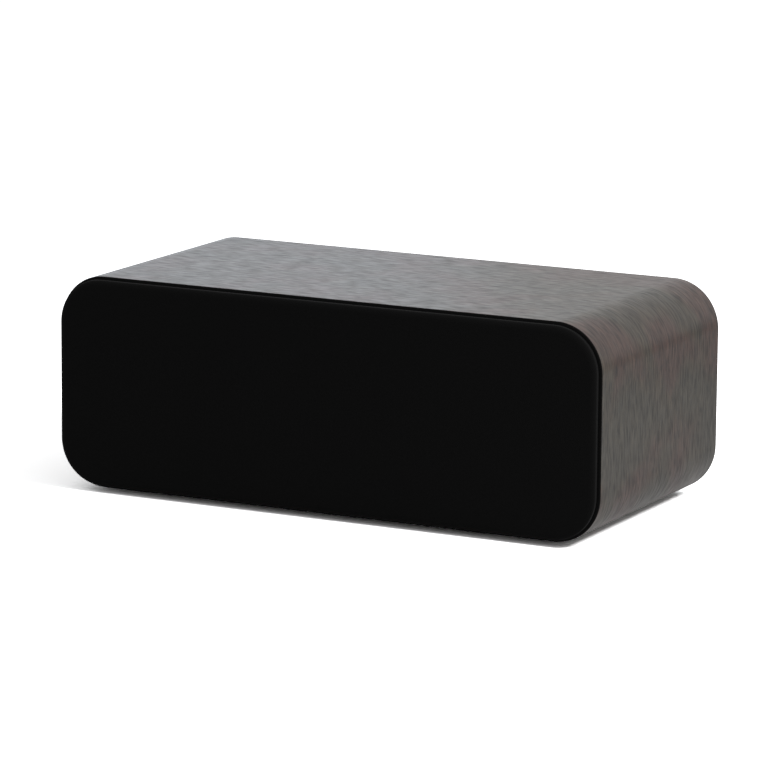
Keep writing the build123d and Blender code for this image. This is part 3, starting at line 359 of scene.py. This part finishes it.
def half_roll(name, node, centre, crest, over, wall, lips, finish):
    """A half-roll edge in two halves: the outer one from the lip that is clamped, the inner one from the lip
    that moves.
    """
    under = over - wall
    foot = math.asin(wall / over)
    lip_front = centre - Vector((0, wall, 0))
    beyond = centre - Vector((0, 2 * over - wall, 0))
    for half, way, lip, start, end in (
        ("outer", 1, lips[0], lip_front, beyond),
        ("inner", -1, lips[1], beyond, lip_front),
    ):
        section = [(lip, 0), (lip, -wall)]
        for i in range(ROLL_STEPS + 1):
            turn = foot + (math.pi / 2 - foot) * i / ROLL_STEPS
            section.append((crest + way * over * math.cos(turn), -over * math.sin(turn)))
        for i in range(ROLL_STEPS + 1):
            turn = math.pi / 2 * (1 - i / ROLL_STEPS)
            section.append((crest + way * under * math.cos(turn), -under * math.sin(turn)))
        piece = make_piece(f"{name}_{half}", spun(section, centre), [finish], stands_for=[node])
        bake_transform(piece)


coated_pulp = grained("coated paper pulp", "#1c1c1d", "#29292a", 0.7 * MM, 0.08 * MM,
                      {"Roughness": 0.5, "Coat Weight": 0.15, "Coat Roughness": 0.4})
doped_cloth = woven("doped black cotton", "#121212", "#1f1f1f", 0.5 * MM, {"Roughness": 0.45})
foam = grained("die-cut foam", "#181818", "#272727", 0.5 * MM, 0.15 * MM, {"Roughness": 0.95})
resined_cotton = woven("resin-stiffened cotton", "#6e5322", "#a3803c", 0.6 * MM, {"Roughness": 0.7})
zinc_plate = grained("zinc-plated steel", "#a9acb0", "#c3c5c6", 1.5 * MM, 0.01 * MM,
                     {"Metallic": 1.0, "Roughness": 0.38})
ferrite = grained("sintered ferrite", "#2d2d2f", "#3a3a3c", 0.35 * MM, 0.04 * MM, {"Roughness": 0.65})
enamelled_copper = grained("enamelled copper wire", "#b5552b", "#c9683a", 1.2 * MM, 0.01 * MM,
                           {"Metallic": 1.0, "Roughness": 0.3})

for side in ("left", "right"):
    unit = f"woofer_{side}"
    coat(moulded_abs, f"{unit}_basket")
    coat(foam, f"{unit}_gasket")
    coat(coated_pulp, f"{unit}_cone")
    coat(doped_cloth, f"{unit}_dust_cap")
    coat(zinc_plate, f"{unit}_front_plate", f"{unit}_back_plate")
    coat(ferrite, f"{unit}_magnet")
    coat(enamelled_copper, f"{unit}_voice_coil")
    low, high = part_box(f"{unit}_surround")
    cone_low, cone_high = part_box(f"{unit}_cone")
    centre = Vector(((low.x + high.x) / 2, high.y, (low.z + high.z) / 2))
    rim = (cone_high.x - cone_low.x) / 2
    over = high.y - low.y
    half_roll(f"{unit}_surround", f"{unit}_surround", centre, rim + over - SURROUND_WALL / 2, over,
              SURROUND_WALL, ((high.x - low.x) / 2, rim - INNER_LIP), soft_rubber)
    low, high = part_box(f"{unit}_spider")
    seat = Vector((centre.x, high.y - SPIDER_WAVE_HEIGHT / 2, centre.z))
    edge = (high.x - low.x) / 2
    first = SPIDER_BORE + SPIDER_NECK
    wave = (edge - SPIDER_LEDGE - first) / (2 * SPIDER_WAVES)
    swing = SPIDER_WAVE_HEIGHT / 2
    peaks = [(first + (i + 0.5) * wave, swing if i % 2 else -swing) for i in range(2 * SPIDER_WAVES)]
    backs = [[(SPIDER_BORE, 0), (first, 0), peaks[0]], *zip(peaks, peaks[1:]),
             [peaks[-1], (edge - SPIDER_LEDGE, 0), (edge, 0)]]
    for i, back in enumerate(backs):
        section = [*back, *[(radius, depth - SPIDER_WALL) for radius, depth in reversed(back)]]
        ring = make_piece(f"{unit}_spider_{i}", spun(section, seat), [resined_cotton],
                          stands_for=[f"{unit}_spider"])
        held = i / (len(backs) - 1)
        # The share undoes an easing of t * t * (3 - 2 * t), and over the long span t is the same all over one
        # ring. Neither the share nor the point behind is used.
        share = 0.5 - math.sin(math.asin(1 - 2 * held) / 3)
        behind = seat - Vector((0, STIFF_SPAN * share, 0))
        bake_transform(ring)

# The tweeter: a moulded faceplate whose shallow waveguide runs in to a 26 mm dome. The dome and its small
# roll are pressed from one piece of silk and coated, with a copper coil glued to its foot.
DOME_RADIUS = 12.9 * MM
DOME_ROLL = 1.6 * MM
DOME_WALL = 0.3 * MM
DOME_STEPS = 20

coat(moulded_abs, "tweeter_faceplate")
coat(enamelled_copper, "tweeter_voice_coil")
coat(zinc_plate, "tweeter_front_plate", "tweeter_yoke")
coat(ferrite, "tweeter_magnet")
coated_silk = woven("coated silk", "#0d0d0e", "#161617", 0.3 * MM, {"Roughness": 0.4})
low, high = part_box("tweeter_diaphragm")
centre = Vector(((low.x + high.x) / 2, high.y, (low.z + high.z) / 2))
rise = high.y - low.y - DOME_WALL
bend = (DOME_RADIUS ** 2 + rise ** 2) / (2 * rise)
turns = [math.asin(DOME_RADIUS / bend) * i / DOME_STEPS for i in range(DOME_STEPS + 1)]
middle_depth = bend - rise - DOME_WALL
section = [(bend * math.sin(t), middle_depth - bend * math.cos(t)) for t in turns]
inner = bend - DOME_WALL
section += [(inner * math.sin(t), middle_depth - inner * math.cos(t)) for t in reversed(turns)]
make_piece("silk_dome", spun(section, centre), [coated_silk], "tweeter_dome", ["tweeter_diaphragm"])
half_roll("silk_roll", "tweeter_diaphragm", centre, DOME_RADIUS + DOME_ROLL,
          DOME_ROLL + DOME_WALL / 2, DOME_WALL, ((high.x - low.x) / 2, DOME_RADIUS - DOME_WALL), coated_silk)

# Sixteen countersunk wood screws, blacked and oiled, hold the drive units and the terminal cup. The driver's
# cross is pressed into the head, and the thread is rolled.
HEAD_RADIUS = 2.8 * MM
HEAD_DEPTH = 1.6 * MM
SHANK_RADIUS = 1.6 * MM
ROOT_RADIUS = 1.1 * MM
THREAD_PITCH = 1.3 * MM
CROSS_REACH = 1.55 * MM
CROSS_HALF = 0.36 * MM
CROSS_DEPTH = 1.1 * MM
CROSS_TAPER = 0.55
CROSS_CELLS = 5


def solids_of(name):
    """The box of each separate solid in a CAD node, in order of place."""
    bm = bmesh.new()
    bm.from_mesh(nodes[name].data)
    bmesh.ops.remove_doubles(bm, verts=bm.verts, dist=0.001 * MM)
    boxes = []
    left = set(bm.verts)
    while left:
        solid = [left.pop()]
        for vert in solid:
            joined_on = {edge.other_vert(vert) for edge in vert.link_edges} & left
            left -= joined_on
            solid.extend(joined_on)
        boxes.append([Vector(pick(v.co[i] for v in solid) for i in range(3)) for pick in (min, max)])
    bm.free()
    return sorted(boxes, key=lambda box: tuple(box[0]))


def cross_screw(place, facing, outline):
    """A screw with its head's face at a place: a cross is sunk in the face, and from the rim the side runs
    down pairs of radius and depth."""
    bm = bmesh.new()
    bmesh.ops.create_grid(bm, x_segments=CROSS_CELLS, y_segments=CROSS_CELLS, size=1)
    lines = (-HEAD_RADIUS, -CROSS_REACH, -CROSS_HALF, CROSS_HALF, CROSS_REACH, HEAD_RADIUS)
    for vert in bm.verts:
        vert.co.xy = [lines[round((c + 1) / 2 * CROSS_CELLS)] for c in vert.co.xy]
    bmesh.ops.subdivide_edges(bm, edges=[edge for edge in bm.edges if edge.is_boundary], cuts=2)
    for vert in bm.verts:
        if vert.is_boundary:
            vert.co *= HEAD_RADIUS / vert.co.length
    rim = [edge for edge in bm.edges if edge.is_boundary]
    cross = [face for face in bm.faces if face.calc_center_median().length < CROSS_REACH
             and min(abs(c) for c in face.calc_center_median().xy) < CROSS_HALF / 2]
    sunk = bmesh.ops.extrude_face_region(bm, geom=cross)["geom"]
    for vert in [v for v in sunk if isinstance(v, bmesh.types.BMVert)]:
        vert.co = (vert.co.x * CROSS_TAPER, vert.co.y * CROSS_TAPER, -CROSS_DEPTH)
    for radius, depth in outline:
        grown = bmesh.ops.extrude_edge_only(bm, edges=rim)["geom"]
        for vert in [v for v in grown if isinstance(v, bmesh.types.BMVert)]:
            vert.co = (*(vert.co.xy * radius / vert.co.xy.length), -depth)
        rim = [edge for edge in grown if isinstance(edge, bmesh.types.BMEdge)]
    bmesh.ops.edgeloop_fill(bm, edges=rim)
    bmesh.ops.recalc_face_normals(bm, faces=bm.faces)
    turn = Vector((0, 0, 1)).rotation_difference(facing).to_matrix()
    bmesh.ops.rotate(bm, matrix=turn, verts=bm.verts)
    bmesh.ops.translate(bm, vec=place, verts=bm.verts)
    return bm


def thread(start, end):
    """Ridges down a shank, as pairs of radius and depth."""
    turns = round((end - start) / THREAD_PITCH)
    pitch = (end - start) / turns
    ridges = []
    for i in range(turns):
        ridges += [(SHANK_RADIUS, start + i * pitch), (ROOT_RADIUS, start + (i + 0.5) * pitch)]
    return ridges


def joined(parts):
    """One bmesh made of several."""
    whole = bmesh.new()
    for part in parts:
        mesh = bpy.data.meshes.new("part")
        part.to_mesh(mesh)
        part.free()
        whole.from_mesh(mesh)
        bpy.data.meshes.remove(mesh)
    return whole


black_oxide = grained("black-oxide steel", "#2a2a2c", "#3a3a3c", 0.5 * MM, 0.01 * MM,
                      {"Metallic": 1.0, "Roughness": 0.4})
for node, facing in (("driver_screws", Vector((0, -1, 0))), ("terminal_screws", Vector((0, 1, 0)))):
    screws = []
    for low, high in solids_of(node):
        length = high.y - low.y
        face = (low + high) / 2 + facing * length / 2
        screws.append(cross_screw(face, facing, thread(HEAD_DEPTH, length) + [(ROOT_RADIUS / 2, length)]))
    make_piece(f"cross_recess_{node}", joined(screws), [black_oxide], "cabinet", [node])

# The back: a vinyl-wrapped board with a moulded reflex port and a moulded terminal cup.
coat(moulded_abs, "port_tube", "terminal_cup")

# Two binding posts of gilt brass, 19 mm apart, each with a fluted knob that screws down on a washer to clamp
# bare wire. Knob and collar are moulded in glossy ABS. The posts are nutted behind the cup.
gilt_brass = grained("gilt brass", "#d7a94a", "#e6bf66", 0.8 * MM, 0.005 * MM,
                     {"Metallic": 1.0, "Roughness": 0.22})
coat(gilt_brass, "post_positive", "post_negative", "clamp_washer_positive", "clamp_washer_negative")
coat(grained("red polycarbonate", "#8f0d0d", "#9e1212", 2 * MM, 0.005 * MM, {"Roughness": 0.18}),
     "knob_positive")
glossy_black = grained("black polycarbonate", "#0d0d0d", "#121212", 2 * MM, 0.005 * MM, {"Roughness": 0.18})
coat(glossy_black, "knob_negative", "post_collars")
coat(zinc_plate, "terminal_nuts")

# The signs beside the posts, moulded proud of the cup's floor and painted: red for plus, white for minus.
SIGN_RISE = 13 * MM
SIGN_HALF = 2.6 * MM
BAR_HALF = 0.55 * MM
SIGN_HEIGHT = 0.4 * MM

floor_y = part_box("post_collars")[0].y
for name, colours in (("positive", ("#a01414", "#ab1a1a")), ("negative", ("#c9c9c7", "#d6d6d4"))):
    low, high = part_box(f"post_{name}")
    sign = bmesh.new()
    bmesh.ops.create_grid(sign, x_segments=3, y_segments=3, size=SIGN_HALF)
    for vert in sign.verts:
        vert.co.xy = [math.copysign(min(abs(c), SIGN_HALF) if abs(c) > SIGN_HALF / 2 else BAR_HALF, c)
                      for c in vert.co.xy]
    spare = [face for face in sign.faces if abs(face.calc_center_median().y) > BAR_HALF
             and (name == "negative" or abs(face.calc_center_median().x) > BAR_HALF)]
    bmesh.ops.delete(sign, geom=spare, context="FACES")
    grown = bmesh.ops.extrude_face_region(sign, geom=sign.faces[:])["geom"]
    bmesh.ops.translate(sign, vec=(0, 0, SIGN_HEIGHT),
                        verts=[v for v in grown if isinstance(v, bmesh.types.BMVert)])
    bmesh.ops.recalc_face_normals(sign, faces=sign.faces)
    bmesh.ops.rotate(sign, matrix=Matrix.Rotation(-math.pi / 2, 3, "X"), verts=sign.verts)
    bmesh.ops.translate(sign, vec=((low.x + high.x) / 2, floor_y, (low.z + high.z) / 2 + SIGN_RISE),
                        verts=sign.verts)
    paint_coat = grained(f"sign paint, {name}", *colours, 0.6 * MM, 0.01 * MM, {"Roughness": 0.5})
    make_piece(f"sign_{name}", sign, [paint_coat], "cabinet")

# Under the cabinet, four moulded rubber feet are glued to the veneer.
coat(soft_rubber, "feet")

# Inside, two windowed boards brace the cabinet beside the tweeter, and polyester wadding lines both ends.
VOXEL = 4 * MM
TUFT = 14 * MM
TUFT_DEPTH = 3 * MM

coat(bare_board, "brace_left", "brace_right")
fleece = grained("polyester wadding", "#c4c4c0", "#e2e2de", 2.5 * MM, 1.5 * MM,
                 {"Roughness": 1.0, "Sheen Weight": 0.4})
for side in ("left", "right"):
    node = f"damping_pad_{side}"
    block = bpy.data.objects.new("wadding block", nodes[node].data.copy())
    bpy.context.scene.collection.objects.link(block)
    block.modifiers.new("closed", "WELD").merge_threshold = 0.01 * MM
    remesh = block.modifiers.new("even", "REMESH")
    remesh.voxel_size = VOXEL
    mesh = bpy.data.meshes.new_from_object(block.evaluated_get(bpy.context.evaluated_depsgraph_get()))
    bpy.data.objects.remove(block)
    pad = bmesh.new()
    pad.from_mesh(mesh)
    bpy.data.meshes.remove(mesh)
    for vert in pad.verts:
        vert.co -= vert.normal * TUFT_DEPTH * (0.5 + 0.5 * noise.noise(vert.co / TUFT))
    wadding = make_piece(f"wadding_{side}", pad, [fleece], "cabinet", [node])

# The crossover: a circuit board on four sleeves on the cabinet's floor, with two air-cored inductors, two
# film capacitors and two cement resistors.
BOBBIN_HUB = 5.6 * MM
WIRE = 1.0 * MM
WIRE_STEPS = 4
CAN_ROUNDING = 1.2 * MM
CAN_STEPS = 5
END_DISH = 0.8 * MM
BLOCK_ROUNDING = 0.5 * MM
BLOCK_STEPS = 3
CASE_WALL = 0.9 * MM
CASE_DISH = 0.4 * MM

coat(grained("phenolic board", "#6b4a26", "#7c5930", 0.9 * MM, 0.03 * MM, {"Roughness": 0.55}),
     "crossover_board", "driver_terminals")
coat(moulded_abs, "crossover_spacers", "inductor_bobbins")
coat(grained("wire insulation, red PVC", "#7d1414", "#8c1a1a", 1 * MM, 0.01 * MM, {"Roughness": 0.4}),
     "input_leads", "woofer_leads", "tweeter_leads")

screws = []
for low, high in solids_of("crossover_screws"):
    top = Vector(((low.x + high.x) / 2, (low.y + high.y) / 2, high.z))
    length = high.z - low.z
    pan = [(HEAD_RADIUS, HEAD_DEPTH)] + thread(HEAD_DEPTH, length) + [(ROOT_RADIUS / 2, length)]
    screws.append(cross_screw(top, Vector((0, 0, 1)), pan))
make_piece("cross_recess_board_screws", joined(screws), [zinc_plate], "cabinet",
           ["crossover_screws"])

coils = []
for low, high in solids_of("inductor_windings"):
    outside = (high.x - low.x) / 2
    rows = round((high.z - low.z) / WIRE)
    half = (high.z - low.z) / rows / 2
    section = [(BOBBIN_HUB, 0)]
    for row in range(rows):
        for i in range(1 if row else 0, WIRE_STEPS + 1):
            turn = math.pi * i / WIRE_STEPS
            section.append((outside - half + half * math.sin(turn), half * (2 * row + 1 - math.cos(turn))))
    section.append((BOBBIN_HUB, high.z - low.z))
    foot = Vector(((low.x + high.x) / 2, (low.y + high.y) / 2, low.z))
    coils.append(spun(section, foot, Vector((0, 0, 1))))
make_piece("wound_inductors", joined(coils), [enamelled_copper], "cabinet", ["inductor_windings"])

cans = []
for low, high in solids_of("capacitors"):
    radius = (high.z - low.z) / 2
    length = high.x - low.x
    turns = [math.pi / 2 * i / CAN_STEPS for i in range(CAN_STEPS + 1)]
    near = [(radius - CAN_ROUNDING * (1 - math.sin(t)), CAN_ROUNDING * (1 - math.cos(t))) for t in turns]
    near = [(0, END_DISH), (radius - 2 * CAN_ROUNDING, END_DISH), *near]
    section = near + [(r, length - depth) for r, depth in reversed(near)]
    cans.append(spun(section, Vector((low.x, (low.y + high.y) / 2, (low.z + high.z) / 2)), Vector((1, 0, 0))))
film_wrap = grained("yellow film wrap", "#c39b1c", "#d0a828", 3 * MM, 0.02 * MM, {"Roughness": 0.3})
make_piece("wrapped_capacitors", joined(cans), [film_wrap], "cabinet", ["capacitors"])

blocks = []
for low, high in solids_of("resistors"):
    block = bmesh.new()
    bmesh.ops.create_cube(block, size=1)
    bmesh.ops.scale(block, vec=high - low, verts=block.verts)
    bmesh.ops.translate(block, vec=(low + high) / 2, verts=block.verts)
    bmesh.ops.bevel(block, geom=block.edges[:], affect="EDGES", offset=BLOCK_ROUNDING,
                    segments=BLOCK_STEPS, profile=0.5, material=-1)
    top = max(block.faces, key=lambda face: face.calc_center_median().z)
    bmesh.ops.inset_region(block, faces=[top], thickness=CASE_WALL, use_even_offset=True)
    bmesh.ops.inset_region(block, faces=[top], thickness=0, depth=-CASE_DISH)
    blocks.append(block)
cement = grained("cement casing", "#c9c6bc", "#d8d5cc", 0.8 * MM, 0.06 * MM, {"Roughness": 0.85})
make_piece("cased_resistors", joined(blocks), [cement], "cabinet", ["resistors"])

# The floor is a white studio sweep. The camera sees it brighter than it lights the speaker, so it stays
# white but for the shadow under the cabinet.
FLOOR_HALF = 8.0
FLOOR_GREY = 0.7
FLOOR_SEEN = 2.2
FLOOR_MIRRORED = 0.1

floor_bm = bmesh.new()
bmesh.ops.create_grid(floor_bm, x_segments=1, y_segments=1, size=FLOOR_HALF)
floor_mesh = bpy.data.meshes.new("studio_floor")
floor_bm.to_mesh(floor_mesh)
floor_bm.free()
floor = bpy.data.objects.new("studio_floor", floor_mesh)
bpy.context.scene.collection.objects.link(floor)
white = bpy.data.materials.new("white studio floor")
white.use_nodes = True
tree = white.node_tree
tree.nodes.clear()
path = add(tree, "ShaderNodeLightPath")
seen = add(tree, "ShaderNodeMath", {0: path.outputs["Is Camera Ray"], 1: FLOOR_SEEN, 2: FLOOR_GREY},
           operation="MULTIPLY_ADD")
mirrored = add(tree, "ShaderNodeMath", {
    0: path.outputs["Is Glossy Ray"], 1: FLOOR_MIRRORED, 2: seen.outputs[0]}, operation="MULTIPLY_ADD")
grey = add(tree, "ShaderNodeCombineXYZ", {axis: mirrored.outputs[0] for axis in "XYZ"})
matt = add(tree, "ShaderNodeBsdfDiffuse", {"Color": grey.outputs[0]})
add(tree, "ShaderNodeOutputMaterial", {"Surface": matt.outputs[0]})
floor_mesh.materials.append(white)

# Plain studio light: an even white room, a soft box to the right, and two weaker ones, to the left and
# behind on the left.
ROOM_LIGHT = 0.36

world = bpy.data.worlds.new("studio")
bpy.context.scene.world = world
world.use_nodes = True
tree = world.node_tree
tree.nodes.clear()
path = add(tree, "ShaderNodeLightPath")
seen = add(tree, "ShaderNodeMath", {0: path.outputs["Is Camera Ray"], 1: path.outputs["Is Glossy Ray"]},
           operation="MAXIMUM")
seen = add(tree, "ShaderNodeMath", {0: seen.outputs[0], 1: path.outputs["Is Transmission Ray"]},
           operation="MAXIMUM")
strength = add(tree, "ShaderNodeMath", {0: seen.outputs[0], 1: 1 - ROOM_LIGHT, 2: ROOM_LIGHT},
               operation="MULTIPLY_ADD")
sky = add(tree, "ShaderNodeBackground", {"Color": (1, 1, 1, 1), "Strength": strength.outputs[0]})
add(tree, "ShaderNodeOutputWorld", {"Surface": sky.outputs[0]})


def soft_box(name, place, target, size, watts, tint="#ffffff"):
    """A square soft box that points at a target."""
    lamp = bpy.data.lights.new(name, "AREA")
    lamp.shape = "SQUARE"
    lamp.size = size
    lamp.energy = watts
    lamp.color = paint(tint)[:3]
    box = bpy.data.objects.new(name, lamp)
    box.location = place
    box.rotation_euler = (Vector(target) - Vector(place)).to_track_quat("-Z", "Y").to_euler()
    bpy.context.scene.collection.objects.link(box)


soft_box("right_soft_box", (1.05, -0.15, 0.92), (0.1, 0, 0.1), 0.4, 14)
soft_box("left_soft_box", (-1.2, -0.1, 1.1), (0, 0, 0.1), 0.9, 1.5)
soft_box("back_left_soft_box", (-1.3, 1.7, 0.6), (0, 0, 0.15), 1.0, 2.0, "#dcecff")

# The camera stands to the right of the speaker and a little above it, with a long lens, as in the photo.
SENSOR = 36.0
LENS = 221.36
STAND = (1.55124, -3.02476, 0.75255)
YAW, PITCH, ROLL = (math.radians(angle) for angle in (-27.1134, -11.2613, 0.4423))

ahead = Vector((math.sin(YAW) * math.cos(PITCH), math.cos(YAW) * math.cos(PITCH), math.sin(PITCH)))
right = Vector((math.cos(YAW), -math.sin(YAW), 0))
up = right.cross(ahead)
right, up = right * math.cos(ROLL) + up * math.sin(ROLL), up * math.cos(ROLL) - right * math.sin(ROLL)
lens = bpy.data.cameras.new("camera")
lens.sensor_width = SENSOR
lens.lens = LENS
lens.clip_end = 50
camera = bpy.data.objects.new("camera", lens)
turn = Matrix((right, up, -ahead)).transposed().to_4x4()
camera.matrix_world = Matrix.Translation(STAND) @ turn
bpy.context.scene.collection.objects.link(camera)
bpy.context.scene.camera = camera
bpy.context.scene.view_settings.view_transform = "Standard"
